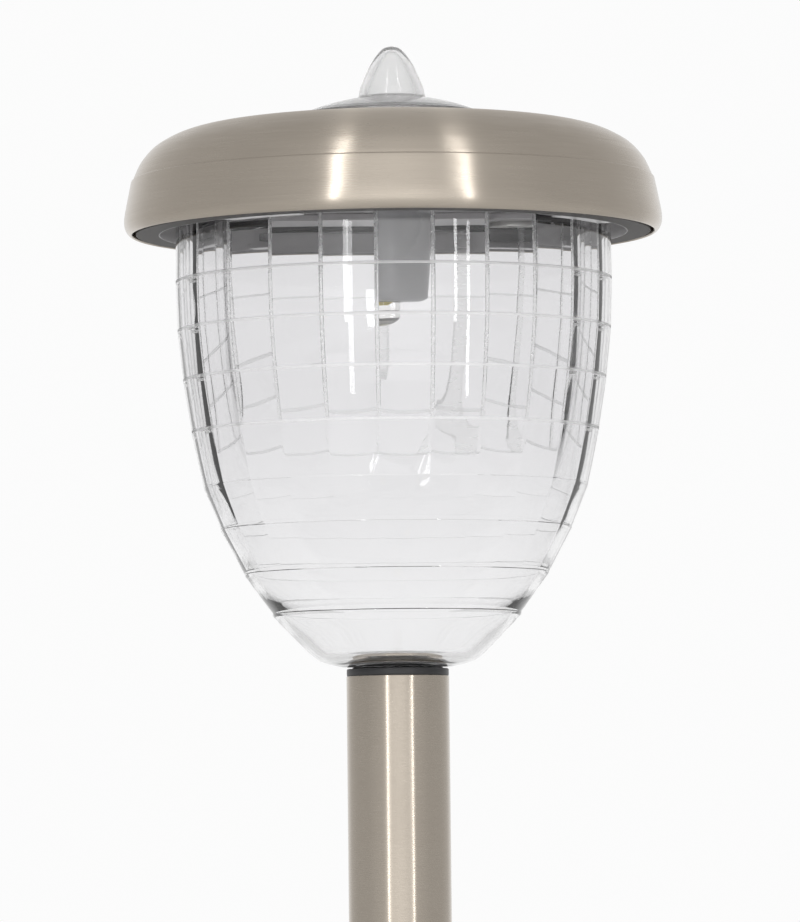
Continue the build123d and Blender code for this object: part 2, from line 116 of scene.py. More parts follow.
# crown cover
CROWN_R = 25.2
CROWN_LOW = 31.7
CROWN_RIM = 1.0
CROWN_APEX = 37.9
CROWN_WALL = 1.8
FINIAL_R = 9.1
FINIAL = [(8.66, 40.1), (7.9, 42.0), (6.32, 45.6), (5.3, 47.4), (4.1, 49.2), (2.5, 50.9)]
FINIAL_WALL = 2.1
PLUG_RING_R = 22.3
PLUG_RING_BORE_R = 20.9
PLUG_RING_LOW = 28.4

# light source's reflector cup, from the foot of the light source
CUP_LIFT = 3.4
CUP_DEPTH = 1.1
CUP_FLOOR = 0.3

# changes of colour within one piece, both painted light, in metres: the radius where the tray's plate
# begins, painted black as shade beyond it, and how far below the rim the lens's painted shade fades into
# its foot tint
TRAY_SHADE_FROM = (0.06395, 0.0641)
PAINTED_SHADE_FADE = (0.105, 0.045)

# camera, in metres and degrees, its focal length in millimetres
CAMERA_DISTANCE = 1.77
CAMERA_BELOW_RIM = 0.171
CAMERA_RIGHT = 0.0012
CAMERA_UP = 3.52
CAMERA_ROLL = -0.6
CAMERA_LENS = 253.8

# studio, in metres, watts and degrees from the front
STRIP_HEIGHT = 0.9
STRIP_DISTANCE = 1.3
STRIP_LENGTH = 1.8
AIM_BELOW_RIM = 0.03
FLOOR_RADIUS = 1.5
FLOOR_GAP = 0.001
BACKDROP = 0.97
# strength of the surrounding studio, from the front (-1) round to the back (1)
WORLD_PEAK = 1.9
WORLD_STOPS = [(-1.0, 1.85), (-0.95, 1.65), (-0.8, 0.82), (-0.3, 0.65),
               (0.35, 0.66), (0.7, 0.75), (0.84, 0.9), (0.97, 0.98)]


# ------------------------------------------------------------ mesh helpers
def smooth_through(points, steps):
    """Catmull-Rom curve through a list of points."""
    padded = [points[0], *points, points[-1]]
    curve = []
    for index in range(1, len(padded) - 2):
        a, b, c, d = (Vector(p) for p in padded[index - 1:index + 3])
        for step in range(steps):
            t = step / steps
            curve.append(tuple(
                0.5 * (2 * b + (c - a) * t + (2 * a - 5 * b + 4 * c - d) * t * t
                       + (3 * b - a - 3 * c + d) * t ** 3)
            ))
    return curve + [tuple(points[-1])]


def rounded(points, radius, steps=4):
    """Closed outline with every corner rounded by at most a radius."""
    result = []
    count = len(points)
    for index in range(count):
        corner = Vector(points[index])
        before = Vector(points[index - 1]) - corner
        after = Vector(points[(index + 1) % count]) - corner
        cut = min(radius, before.length * 0.45, after.length * 0.45)
        start = corner + before.normalized() * cut
        end = corner + after.normalized() * cut
        for step in range(steps + 1):
            t = step / steps
            result.append(tuple(start * (1 - t) ** 2 + corner * 2 * t * (1 - t) + end * t * t))
    return result


def inset(points, distance):
    """Open outline moved sideways, to the left of its direction, by a distance."""
    moved = []
    for index, point in enumerate(points):
        before = points[max(index - 1, 0)]
        after = points[min(index + 1, len(points) - 1)]
        run_r = after[0] - before[0]
        run_z = after[1] - before[1]
        length = hypot(run_r, run_z)
        moved.append((point[0] - distance * run_z / length, point[1] + distance * run_r / length))
    return moved


def even_angles(count):
    return [2 * pi * index / count for index in range(count)]


def finish_mesh(name, bm, sharp=35, base_z=None):
    """Turns a bmesh in millimetres into a smooth-shaded object in the shared frame.
    Its height 0 is the cap's rim, unless base_z says otherwise."""
    bmesh.ops.remove_doubles(bm, verts=bm.verts, dist=1e-4)
    bmesh.ops.dissolve_degenerate(bm, edges=bm.edges, dist=1e-5)
    bmesh.ops.recalc_face_normals(bm, faces=bm.faces)
    lift = rim_z if base_z is None else base_z
    for vertex in bm.verts:
        vertex.co = Vector((vertex.co.x * MM, vertex.co.y * MM, vertex.co.z * MM + lift))
    mesh = bpy.data.meshes.new(name)
    bm.to_mesh(mesh)
    bm.free()
    mesh.shade_smooth()
    mesh.set_sharp_from_angle(angle=radians(sharp))
    piece = bpy.data.objects.new(name, mesh)
    bpy.context.scene.collection.objects.link(piece)
    return piece


def lathe(name, outline, angles, radius_at=None, sharp=35, slot_at=None):
    """Turns an outline of (radius, height) about Z. radius_at(index, angle) may replace a radius.
    slot_at(row, column) gives a face's material slot."""
    bm = bmesh.new()
    rings = []
    for index, (radius, height) in enumerate(outline):
        ring = []
        for angle in angles:
            r = radius_at(index, angle) if radius_at else radius
            ring.append(bm.verts.new((r * cos(angle), r * sin(angle), height)))
        rings.append(ring)
    count = len(angles)
    for row, low in enumerate(rings):
        high = rings[(row + 1) % len(rings)]
        for index in range(count):
            after = (index + 1) % count
            face = bm.faces.new((low[index], low[after], high[after], high[index]))
            face.material_index = slot_at(row, index) if slot_at else 0
    return finish_mesh(name, bm, sharp)


def skin(bm, rings):
    """Closed skin over a row of rings, with a face over each end."""
    for first, second in zip(rings, rings[1:]):
        for index in range(len(first)):
            after = (index + 1) % len(first)
            bm.faces.new((first[index], first[after], second[after], second[index]))
    bm.faces.new(rings[0])
    bm.faces.new(rings[-1][::-1])


def from_rim(z):
    """Height of a place in the frame, in millimetres from the cap's rim."""
    return (z - rim_z) / MM


# ------------------------------------------------------------ node helpers
class Graph:
    """A material's node tree, built by short calls."""

    def __init__(self, name):
        self.material = bpy.data.materials.new(name)
        self.material.use_nodes = True
        self.tree = self.material.node_tree
        self.tree.nodes.clear()
        self.output = self.tree.nodes.new("ShaderNodeOutputMaterial")
        self.shader = self.tree.nodes.new("ShaderNodeBsdfPrincipled")
        self.link(self.shader.outputs[0], self.output.inputs[0])

    def link(self, source, target):
        self.tree.links.new(source, target)

    def node(self, kind, inputs=None, **settings):
        made = self.tree.nodes.new("ShaderNode" + kind)
        for key, value in settings.items():
            setattr(made, key, value)
        for key, value in (inputs or {}).items():
            self.put(value, made.inputs[key])
        return made

    def put(self, value, socket):
        if isinstance(value, bpy.types.NodeSocket):
            self.link(value, socket)
        else:
            socket.default_value = value

    def set(self, **values):
        """Sets the shader's own sockets; underscores stand for spaces."""
        for key, value in values.items():
            self.put(value, self.shader.inputs[key.replace("_", " ")])

    def math(self, operation, a, b=0.0):
        return self.node("Math", {0: a, 1: b}, operation=operation).outputs[0]

    def place(self):
        return self.node("TexCoord").outputs["Object"]

    def split(self, vector):
        """The x, y and z of a vector."""
        return self.node("SeparateXYZ", {0: vector}).outputs

    def from_axis(self, x, y):
        """Distance from the object's axis."""
        return self.math("SQRT", self.math("ADD", self.math("MULTIPLY", x, x), self.math("MULTIPLY", y, y)))

    def noise(self, vector, scale, detail=3.0, roughness=0.5):
        inputs = {"Vector": vector, "Scale": scale, "Detail": detail, "Roughness": roughness}
        return self.node("TexNoise", inputs).outputs["Fac"]

    def span(self, value, low, high, from_low=0.0, from_high=1.0):
        """Maps a value's range onto another."""
        made = self.node("MapRange", {0: value, 1: from_low, 2: from_high, 3: low, 4: high})
        return made.outputs[0]

    def blend(self, factor, a, b):
        made = self.node("Mix", data_type="RGBA")
        self.put(factor, made.inputs[0])
        self.put(a, made.inputs[6])
        self.put(b, made.inputs[7])
        return made.outputs[2]

    def bump(self, height, strength, distance):
        return self.node("Bump", {"Height": height, "Strength": strength, "Distance": distance}).outputs[0]


def rgb(red, green, blue):
    return (red, green, blue, 1.0)


# ------------------------------------------------------------ materials
def brushed_steel(name, base, dark, roughness=0.29):
    """Satin stainless, brushed round the axis: its highlights run along the height."""
    g = Graph(name)
    place = g.place()
    x, y, z = g.split(place)
    radius = g.from_axis(x, y)
    safe = g.math("MAXIMUM", radius, 0.001)
    around_x = g.math("DIVIDE", x, safe)
    around_y = g.math("DIVIDE", y, safe)
    along = g.math("ADD", z, g.math("MULTIPLY", radius, 0.8))

    def streaks(per_metre, turns, detail):
        """Noise stretched round the axis."""
        stretched = g.node("CombineXYZ", {
            0: g.math("MULTIPLY", around_x, turns),
            1: g.math("MULTIPLY", around_y, turns),
            2: g.math("MULTIPLY", along, per_metre),
        }).outputs[0]
        return g.noise(stretched, 1.0, detail, 0.62)

    fine = streaks(6500.0, 5.0, 4.0)
    broad = streaks(420.0, 1.6, 3.0)
    clouds = g.noise(place, 22.0, 3.0)
    colour = g.blend(g.span(fine, 0.0, 0.25, 0.3, 0.7), base, dark)
    colour = g.blend(g.span(broad, 0.0, 0.1, 0.35, 0.7), colour, dark)
    rough = g.math("ADD", g.span(fine, roughness - 0.03, roughness + 0.03, 0.3, 0.7),
                   g.span(clouds, -0.02, 0.04, 0.3, 0.7))
    tangent = g.node("Tangent", direction_type="RADIAL", axis="Z").outputs[0]
    g.set(Base_Color=colour, Metallic=1.0, Roughness=rough, Tangent=tangent)
    g.set(Anisotropic=1.0, Anisotropic_Rotation=0.25)
    g.set(Normal=g.bump(fine, 0.06, 0.00001))
    return g.material


def clear_plastic(name, tint, low_tint, ior, rough_low, rough_high):
    """Clear moulded plastic with faint flow waves and fingerprints; an upper tint darker than the foot's is
    painted shade, fading towards its foot.
    """
    g = Graph(name)
    place = g.place()
    smudge = g.noise(place, 45.0, 4.0, 0.6)
    flow = g.noise(place, 30.0, 2.0)
    height = g.split(place)[2]
    # painted shade for the lens: above the fade its upper part takes the darker tint, fading to the foot's
    # tint below
    fade_low, fade_high = (rim_z - below for below in PAINTED_SHADE_FADE)
    tint = g.blend(g.span(height, 0.0, 1.0, fade_low, fade_high), low_tint, tint)
    g.set(Base_Color=tint, Roughness=g.span(smudge, rough_low, rough_high, 0.45, 0.75))
    g.set(Transmission_Weight=1.0, IOR=ior)
    g.set(Normal=g.bump(flow, 0.05, 0.0006))
    return g.material


def hazed_plastic(name, tint, roughness, clear_part):
    """Clear plastic, hazed by the weather."""
    g = Graph(name)
    place = g.place()
    smudge = g.noise(place, 60.0, 4.0, 0.6)
    g.set(Base_Color=tint, Roughness=g.span(smudge, roughness - 0.05, roughness + 0.06, 0.35, 0.7))
    g.set(Transmission_Weight=clear_part, IOR=1.49)
    g.set(Normal=g.bump(g.noise(place, 35.0, 2.0), 0.06, 0.0005))
    return g.material


def frosted_plastic(name, tint, roughness, clear_part):
    """Clear plastic with a matt mould finish."""
    g = Graph(name)
    place = g.place()
    grain = g.noise(place, 900.0, 2.0)
    g.set(Base_Color=tint, Roughness=g.span(grain, roughness - 0.06, roughness + 0.06, 0.3, 0.7))
    g.set(Transmission_Weight=clear_part, IOR=1.49, Normal=g.bump(grain, 0.2, 0.00004))
    return g.material


def moulded_plastic(name, base, worn, rough=0.42, grain=900.0):
    """Opaque moulded plastic with a fine spark-eroded grain."""
    g = Graph(name)
    place = g.place()
    clouds = g.noise(place, 28.0, 4.0)
    fine = g.noise(place, grain, 2.0)
    g.set(Base_Color=g.blend(g.span(clouds, 0.0, 1.0, 0.35, 0.75), base, worn))
    g.set(Roughness=g.span(clouds, rough - 0.06, rough + 0.1, 0.3, 0.7))
    g.set(Normal=g.bump(fine, 0.25, 0.00008))
    return g.material


def tray_painted_light(name):
    """Moulded plastic with painted light: grey and glossy inside the collar, lightened there against the
    shade it lies in, and black painted shade, matt, on the plate round it.
    """
    g = Graph(name)
    place = g.place()
    # painted light: beyond this radius the plate is painted black as shade, and inside it the grey is
    # lightened against its shade
    plate = g.span(g.from_axis(*g.split(place)[:2]), 0.0, 1.0, *TRAY_SHADE_FROM)
    clouds = g.noise(place, 28.0, 4.0)
    inside = g.blend(clouds, rgb(0.5, 0.49, 0.493), rgb(0.56, 0.549, 0.552))
    outside = g.blend(clouds, rgb(0.048, 0.045, 0.043), rgb(0.066, 0.062, 0.059))
    g.set(Base_Color=g.blend(plate, inside, outside))
    g.set(Roughness=g.math("ADD", g.span(plate, 0.3, 0.62), g.span(clouds, -0.03, 0.05)))
    g.set(Normal=g.bump(g.noise(place, 900.0, 2.0), 0.25, 0.00006))
    return g.material


def rubber(name):
    """Matt black rubber."""
    g = Graph(name)
    place = g.place()
    clouds = g.noise(place, 60.0, 3.0)
    g.set(Base_Color=g.blend(clouds, rgb(0.018, 0.018, 0.018), rgb(0.045, 0.044, 0.042)))
    g.set(Roughness=g.span(clouds, 0.7, 0.9), Normal=g.bump(g.noise(place, 1500.0), 0.3, 0.00006))
    return g.material


def plated(name, base, rough=0.25):
    """Bright metal, faintly tarnished in patches."""
    g = Graph(name)
    place = g.place()
    clouds = g.noise(place, 180.0, 4.0)
    g.set(Base_Color=g.blend(g.span(clouds, 0.0, 0.6, 0.4, 0.7), base, rgb(0.42, 0.40, 0.36)))
    g.set(Metallic=1.0, Roughness=g.span(clouds, rough - 0.05, rough + 0.15, 0.3, 0.7))
    g.set(Normal=g.bump(g.noise(place, 2500.0), 0.15, 0.00003))
    return g.material


def stripes(g, coordinate, pitch, width):
    """1 on lines a pitch apart, 0 between them."""
    phase = g.math("FRACT", g.math("DIVIDE", g.math("ADD", coordinate, 1.0), pitch))
    return g.math("LESS_THAN", phase, width / pitch)


def solar_cell(name):
    """Dark blue cell with printed silver fingers and a busbar."""
    g = Graph(name)
    place = g.place()
    x, y = g.split(place)[:2]
    crystals = g.node("TexVoronoi", {"Vector": place, "Scale": 380.0}).outputs["Color"]
    shade = g.node("SeparateColor", {0: crystals}).outputs[0]
    cell = g.blend(shade, rgb(0.006, 0.010, 0.035), rgb(0.015, 0.028, 0.09))
    fingers = stripes(g, y, 0.0015, 0.00016)
    busbar = stripes(g, g.math("ADD", x, 0.0035), 0.007, 0.0007)
    silver = g.math("MAXIMUM", fingers, busbar)
    g.set(Base_Color=g.blend(silver, cell, rgb(0.62, 0.63, 0.65)))
    g.set(Metallic=g.math("MULTIPLY", silver, 0.9), Roughness=g.span(shade, 0.18, 0.3))
    return g.material


def circuit_laminate(name):
    """Green solder mask over faint copper tracks."""
    g = Graph(name)
    place = g.place()
    x = g.split(place)[0]
    patches = g.math("GREATER_THAN", g.noise(place, 160.0, 1.0), 0.5)
    tracks = g.math("MULTIPLY", stripes(g, x, 0.0036, 0.0011), patches)
    weave = g.noise(place, 1400.0, 2.0)
    mask = g.blend(weave, rgb(0.010, 0.075, 0.032), rgb(0.016, 0.10, 0.045))
    g.set(Base_Color=g.blend(tracks, mask, rgb(0.03, 0.16, 0.06)), Roughness=g.span(weave, 0.28, 0.42))
    g.set(Normal=g.bump(tracks, 0.3, 0.00004))
    return g.material


def clear_resin(name):
    """Cast resin with a few tiny bubbles."""
    g = Graph(name)
    place = g.place()
    bubbles = g.node("TexVoronoi", {"Vector": place, "Scale": 700.0}).outputs["Distance"]
    dots = g.math("LESS_THAN", bubbles, 0.09)
    g.set(Base_Color=rgb(0.97, 0.975, 0.98), Roughness=g.span(dots, 0.03, 0.25))
    g.set(Transmission_Weight=1.0, IOR=1.5, Normal=g.bump(g.noise(place, 90.0), 0.1, 0.0002))
    return g.material


def battery_sleeve(name):
    """Shrink sleeve in two colours with bare metal ends."""
    g = Graph(name)
    place = g.place()
    x = g.split(place)[0]
    low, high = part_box("battery")
    green_length = 0.036
    low_end = 0.0006
    high_end = 0.0018
    clouds = g.noise(place, 120.0, 3.0)
    green = g.blend(clouds, rgb(0.02, 0.15, 0.06), rgb(0.03, 0.2, 0.08))
    band = g.math("GREATER_THAN", x, low.x + green_length)
    colour = g.blend(band, green, rgb(0.55, 0.55, 0.52))
    past_low = g.math("GREATER_THAN", x, low.x + low_end)
    short_of_high = g.math("LESS_THAN", x, high.x - high_end)
    sleeve = g.math("MULTIPLY", past_low, short_of_high)
    g.set(Base_Color=g.blend(sleeve, rgb(0.66, 0.65, 0.62), colour))
    g.set(Metallic=g.math("SUBTRACT", 1.0, sleeve), Roughness=g.span(clouds, 0.2, 0.34))
    return g.material


def wire_sheath(name):
    """Flexible sheath, red to the right of the axis and black to its left."""
    g = Graph(name)
    place = g.place()
    x = g.split(place)[0]
    clouds = g.noise(place, 240.0, 3.0)
    red = g.blend(clouds, rgb(0.42, 0.012, 0.01), rgb(0.55, 0.03, 0.022))
    black_side = g.blend(clouds, rgb(0.012, 0.012, 0.013), rgb(0.035, 0.035, 0.037))
    g.set(Base_Color=g.blend(g.math("GREATER_THAN", x, 0.0), black_side, red))
    g.set(Roughness=g.span(clouds, 0.42, 0.58), Normal=g.bump(clouds, 0.2, 0.00005))
    return g.material


def phosphor(name):
    """Yellow powder."""
    g = Graph(name)
    grain = g.noise(g.place(), 4000.0, 2.0)
    g.set(Base_Color=g.blend(grain, rgb(0.62, 0.5, 0.06), rgb(0.8, 0.68, 0.14)))
    g.set(Roughness=g.span(grain, 0.6, 0.8))
    return g.material


# ------------------------------------------------------------ cap
def build_cap():
    """Spun sheet with a folded lip and a small step round its side."""
    outer = smooth_through(CAP_LIP + CAP_SKIRT, 5) + CAP_STEP + smooth_through(CAP_DOME, 8)
    inner = inset(outer, CAP_WALL)
    return lathe("cap_shell", outer + inner[::-1], even_angles(256), sharp=24)


# ------------------------------------------------------------ lens
def flute_angles():
    """Directions round the lens, closer together at the ribs between the flutes."""
    pitch = 360 / FLUTES
    beside = [RIB_HALF * share for share in RIB_SHARES] + [*FLUTE_OFFSETS]
    offsets = beside + [pitch / 2] + [pitch - offset for offset in reversed(beside[1:])]
    return [radians(FLUTE_PHASE + flute * pitch + offset) for flute in range(FLUTES) for offset in offsets]


def step_between(value, low, high):
    """Smooth step from 0 to 1."""
    t = min(max((value - low) / (high - low), 0.0), 1.0)
    return t * t * (3 - 2 * t)


def fluted_radius(corner_r, height, angle):
    """Inner radius of the lens: crowned flutes with a round rib at each corner, fading to a circle."""
    pitch = 360 / FLUTES
    from_corner = (degrees(angle) - FLUTE_PHASE) % pitch
    from_corner = min(from_corner, pitch - from_corner)
    from_middle = radians(pitch / 2 - from_corner)
    flute_r = corner_r * cos(radians(pitch / 2)) / cos(from_middle)
    flute_r -= FLUTE_CROWN * (1 - (1 - 2 * from_corner / pitch) ** 2)
    rib = RIB_HEIGHT * sqrt(max(0.0, 1 - (from_corner / RIB_HALF) ** 2))
    rib *= step_between(height, *RIB_FADE)
    round_r = corner_r * (1 + cos(radians(pitch / 2))) / 2
    return round_r + (flute_r - round_r) * step_between(height, *FLUTE_FADE) - rib


def lens_grooves():
    """Outline down the lens's side with its ring grooves, and the rows that are frosted."""
    outline = []
    frosted_rows = []
    for height, radius in LENS_RINGS:
        half = GROOVE_HALF
        if height > WIDE_GROOVES_ABOVE:
            first_row = len(outline)
            frosted_rows += [first_row, first_row + 1, first_row + 2]
        else:
            half /= 2
        flat = half - GROOVE_SLOPE
        outline += [
            (radius, height + half),
            (radius - GROOVE_DEPTH, height + flat),
            (radius - GROOVE_DEPTH, height - flat),
            (radius, height - half),
        ]
    return outline, frosted_rows


def lens_outside():
    """Outline of the lens from its top edge down to the inside of its spigot."""
    top_r, top_z = LENS_TOP
    foot_z = LENS_FOOT[-1][1]
    last_z, last_r = LENS_RINGS[-1]
    top = [(top_r - LENS_EDGE, top_z), (top_r, top_z - LENS_EDGE)]
    grooves, frosted_rows = lens_grooves()
    foot = smooth_through([(last_r - 0.3, last_z - 0.9), *LENS_FOOT], 5)
    spigot = [
        (SPIGOT_R + 0.4, foot_z),
        (SPIGOT_R, foot_z - 0.4),
        (SPIGOT_R, SPIGOT_END + 0.5),
        (SPIGOT_R - 0.5, SPIGOT_END),
        (SPIGOT_BORE_R + 0.3, SPIGOT_END),
        (SPIGOT_BORE_R, SPIGOT_END + 0.3),
        (SPIGOT_BORE_R, foot_z - 0.6),
        (SPIGOT_BORE_R - 0.6, foot_z),
        (0, foot_z),
    ]
    return top + grooves + foot + spigot, [len(top) + row for row in frosted_rows]


def lens_inside():
    """Outline of the lens's inner wall, from the top edge to the middle of its floor."""
    top_r, top_z = LENS_TOP
    wall = [(radius - LENS_WALL, height) for height, radius in [(top_z, top_r), *LENS_RINGS]]
    return smooth_through(wall + INNER_FOOT, 4) + [(0, INNER_FLOOR)]


def build_lens():
    """Clear bell, smooth and ringed outside, fluted inside."""
    outer, frosted_rows = lens_outside()
    outline = outer + lens_inside()[::-1]
    fluted_from = len(outer)
    angles = flute_angles()
    columns = len(angles) // FLUTES
    rib_columns = len(RIB_SHARES) - 1

    def radius_at(index, angle):
        radius, height = outline[index]
        if index < fluted_from or radius < FLUTES_STOP_R:
            return radius
        return fluted_radius(radius, height, angle)

    def lens_slot(row, column):
        """The wide grooves outside are frosted, and the ribs inside less so."""
        if row < fluted_from:
            return 1 if row in frosted_rows else 0
        in_flute = column % columns
        on_rib = in_flute < rib_columns or in_flute >= columns - rib_columns
        return 2 if on_rib and outline[row][1] > RIB_FROST_END else 0

    return lathe("lens_shell", outline, angles, radius_at, sharp=16, slot_at=lens_slot)


def build_lugs():
    """Bayonet lugs on the lens's top edge."""
    bm = bmesh.new()
    low_r = LENS_TOP[0] - 0.6
    high_r = LENS_TOP[0] + LUG_REACH
    low_z, high_z = LUG_Z
    section = rounded([(low_r, low_z), (high_r, low_z), (high_r, high_z), (low_r, high_z)], LUG_EDGE)
    steps = 10
    for direction in LUG_DIRECTIONS:
        rings = []
        for step in range(steps + 1):
            angle = radians(direction - LUG_HALF + 2 * LUG_HALF * step / steps)
            rings.append([bm.verts.new((r * cos(angle), r * sin(angle), z)) for r, z in section])
        skin(bm, rings)
    return finish_mesh("lens_lugs", bm)


# ------------------------------------------------------------ crown cover
def crown_z(radius, inset_by=0.0):
    """Height of the crown's shallow spherical dome."""
    drop = CROWN_APEX - CROWN_LOW - CROWN_RIM
    sphere_r = (CROWN_R ** 2 + drop ** 2) / (2 * drop)
    return CROWN_APEX - sphere_r + sqrt((sphere_r - inset_by) ** 2 - radius ** 2)


def crown_arc(first, last, inset_by=0.0, steps=10):
    """Points along the crown's dome from one radius to another."""
    radii = [first + (last - first) * step / steps for step in range(steps + 1)]
    return [(radius, crown_z(radius, inset_by)) for radius in radii]


def build_crown():
    """Shallow clear dome with a hollow pointed finial above and a plug ring below."""
    tip = from_rim(finial_top)
    rim_top = CROWN_LOW + CROWN_RIM
    foot = crown_z(FINIAL_R)
    edge = [(CROWN_R - 0.25, CROWN_LOW), (CROWN_R, CROWN_LOW + 0.25), (CROWN_R, rim_top - 0.3)]
    dome = crown_arc(CROWN_R - 0.3, FINIAL_R + 1.0)
    finial = [(FINIAL_R + 0.3, foot + 0.12), (FINIAL_R, foot + 0.6)]
    finial += smooth_through([(FINIAL_R, foot + 0.6), *FINIAL, (1.2, tip - 0.25), (0, tip)], 6)[1:]
    hollow = [(r - FINIAL_WALL, z - 0.7) for r, z in FINIAL[:5]]
    hollow_tip = tip - FINIAL_WALL
    hollow = smooth_through([(0, hollow_tip), (1.0, hollow_tip - 0.2), *hollow[::-1]], 5)
    under_dome = crown_arc(FINIAL_R - FINIAL_WALL, PLUG_RING_BORE_R, CROWN_WALL)
    plug_ring = [
        (PLUG_RING_BORE_R, PLUG_RING_LOW + 0.2),
        (PLUG_RING_BORE_R + 0.2, PLUG_RING_LOW),
        (PLUG_RING_R - 0.2, PLUG_RING_LOW),
        (PLUG_RING_R, PLUG_RING_LOW + 0.2),
        (PLUG_RING_R, CROWN_LOW),
    ]
    finial_from = len(edge) + len(dome)
    finial_to = finial_from + len(finial) + len(hollow)

    def crown_slot(row, column):
        """The finial has a finish of its own."""
        return 1 if finial_from <= row < finial_to else 0

    outline = edge + dome + finial + hollow + under_dome + plug_ring
    return lathe("crown_shell", outline, even_angles(160), sharp=28, slot_at=crown_slot)


# ------------------------------------------------------------ pole
def build_pole():
    """Thin tube with rounded ends."""
    low = from_rim(pole_low.z)
    high = from_rim(pole_high.z)
    outer_r = pole_high.x / MM
    inner_r = outer_r - POLE_WALL
    outline = rounded([(outer_r, low), (outer_r, high), (inner_r, high), (inner_r, low)], POLE_EDGE)
    return lathe("pole_shell", outline, even_angles(160), sharp=30)


# ------------------------------------------------------------ spike
def build_fins(soil_z):
    """Cross of two tapered fins with rounded edges."""
    tip_z = from_rim(spike_low.z)
    levels = 28
    bm = bmesh.new()
    for turn in (0.0, pi / 2):
        rings = []
        for level in range(levels + 1):
            share = level / levels
            z = soil_z + (tip_z - soil_z) * share
            half = SPIKE_TOP_HALF + (SPIKE_TIP_HALF - SPIKE_TOP_HALF) * share
            web = SPIKE_WEB / 2 * (1 - SPIKE_WEB_TAPER * share)
            section = rounded([(-half, -web), (half, -web), (half, web), (-half, web)], web * 0.8, 3)
            turned = [(x * cos(turn) - y * sin(turn), x * sin(turn) + y * cos(turn)) for x, y in section]
            rings.append([bm.verts.new((x, y, z)) for x, y in turned])
        skin(bm, rings)
    return finish_mesh("spike_fins", bm, sharp=40)


def build_spike():
    """Fins below the soil line, and a flange and a hollow plug above it."""
    soil_z = from_rim(0)
    top_z = from_rim(spike_high.z)
    flange_top = soil_z + SPIKE_FLANGE
    flange = [(0, soil_z), (SPIKE_FLANGE_R, soil_z), (SPIKE_FLANGE_R, flange_top), (0, flange_top)]
    plug_low = flange_top - SPIKE_PLUG_SUNK
    plug_in = SPIKE_PLUG_R - SPIKE_PLUG_WALL
    plug = [(plug_in, plug_low), (SPIKE_PLUG_R, plug_low), (SPIKE_PLUG_R, top_z), (plug_in, top_z)]
    return [
        build_fins(soil_z),
        lathe("spike_flange", rounded(flange, SPIKE_FLANGE_EDGE), even_angles(128), sharp=40),
        lathe("spike_plug", rounded(plug, SPIKE_PLUG_EDGE), even_angles(128), sharp=40),
    ]


# ------------------------------------------------------------ small pieces
def build_led_cup():
    """Reflector cup with its phosphor, seen inside the LED's clear body."""
    foot = from_rim(led_foot) + CUP_LIFT
    top = foot + CUP_DEPTH
    floor = foot + CUP_FLOOR
    outline = [(0, foot), (0.75, foot), (1.15, top), (0.98, top), (0.62, floor), (0, floor)]
    return lathe("led_cup", outline, even_angles(40))


# ------------------------------------------------------------ dressing
def wear(piece, *materials):
    """Gives a piece its materials, in the order of its faces' slots."""
    if piece.data.materials:
        piece.data.materials.clear()
    for material in materials:
        piece.data.materials.append(material)


def stand_for(piece, body, node):
    """A piece rides a body and shows instead of a CAD node, or beside it where node is None."""
    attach(piece, body)
    if node:
        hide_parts(node)


def soften(node, width):
    """Small rounds on a CAD node's hard edges."""
    weld = node.modifiers.new("weld", "WELD")
    weld.merge_threshold = 0.00001
    bevel = node.modifiers.new("bevel", "BEVEL")
    bevel.width = width
    bevel.segments = 2
    bevel.limit_method = "ANGLE"
    bevel.angle_limit = radians(50)


# ------------------------------------------------------------ the finishes in use
WARM = rgb(0.48, 0.428, 0.366)
WARM_DARK = rgb(0.385, 0.336, 0.282)
# painted shade: the lens's upper part is greyed, fading to the clearer foot tint below
LENS_SHADED_TINT = rgb(0.895, 0.892, 0.9)
LENS_FOOT_TINT = rgb(0.97, 0.969, 0.973)
LED_TINT = rgb(0.97, 0.97, 0.95)
CLEAR = rgb(1.0, 1.0, 1.0)
steel = brushed_steel("cap_steel", WARM, WARM_DARK)
pole_steel = brushed_steel("pole_steel", WARM, WARM_DARK, 0.27)
lens_clear = clear_plastic("clear_lens", LENS_SHADED_TINT, LENS_FOOT_TINT, 1.49, 0.0, 0.03)
ring_frost = frosted_plastic("ring_frost", CLEAR, 0.5, 0.82)
rib_frost = frosted_plastic("rib_frost", CLEAR, 0.25, 0.8)
crown_clear = hazed_plastic("clear_crown", rgb(0.79, 0.783, 0.78), 0.16, 0.86)
finial_clear = hazed_plastic("finial_frost", rgb(0.998, 0.998, 0.998), 0.1, 0.84)
spike_black = moulded_plastic("spike_plastic", rgb(0.018, 0.018, 0.019), rgb(0.036, 0.036, 0.038), 0.48)
# tray with painted light: lightened grey inside the collar, black painted shade on the plate
tray_lit_and_shaded = tray_painted_light("tray_painted_light")
holder_grey = moulded_plastic("holder_plastic", rgb(0.34, 0.34, 0.345), rgb(0.4, 0.4, 0.405), 0.26)
collar_black = moulded_plastic("collar_plastic", rgb(0.016, 0.016, 0.017), rgb(0.032, 0.032, 0.034))
led_epoxy = clear_plastic("led_epoxy", LED_TINT, LED_TINT, 1.54, 0.0, 0.05)
nickel = plated("nickel_plate", rgb(0.62, 0.60, 0.56))
zinc = plated("screw_steel", rgb(0.50, 0.50, 0.49), 0.3)
tin = plated("tinned_wire", rgb(0.66, 0.66, 0.65), 0.22)
spring = plated("spring_steel", rgb(0.58, 0.57, 0.54), 0.2)
switch_case = plated("switch_metal", rgb(0.6, 0.59, 0.57), 0.28)
board = circuit_laminate("board")
seal = rubber("rubber")
chip = moulded_plastic("chip", rgb(0.012, 0.012, 0.013), rgb(0.025, 0.025, 0.027), 0.5, 2400.0)
ferrite = moulded_plastic("ferrite", rgb(0.05, 0.047, 0.045), rgb(0.09, 0.085, 0.08), 0.62, 2000.0)
sheath = wire_sheath("wire_sheath")

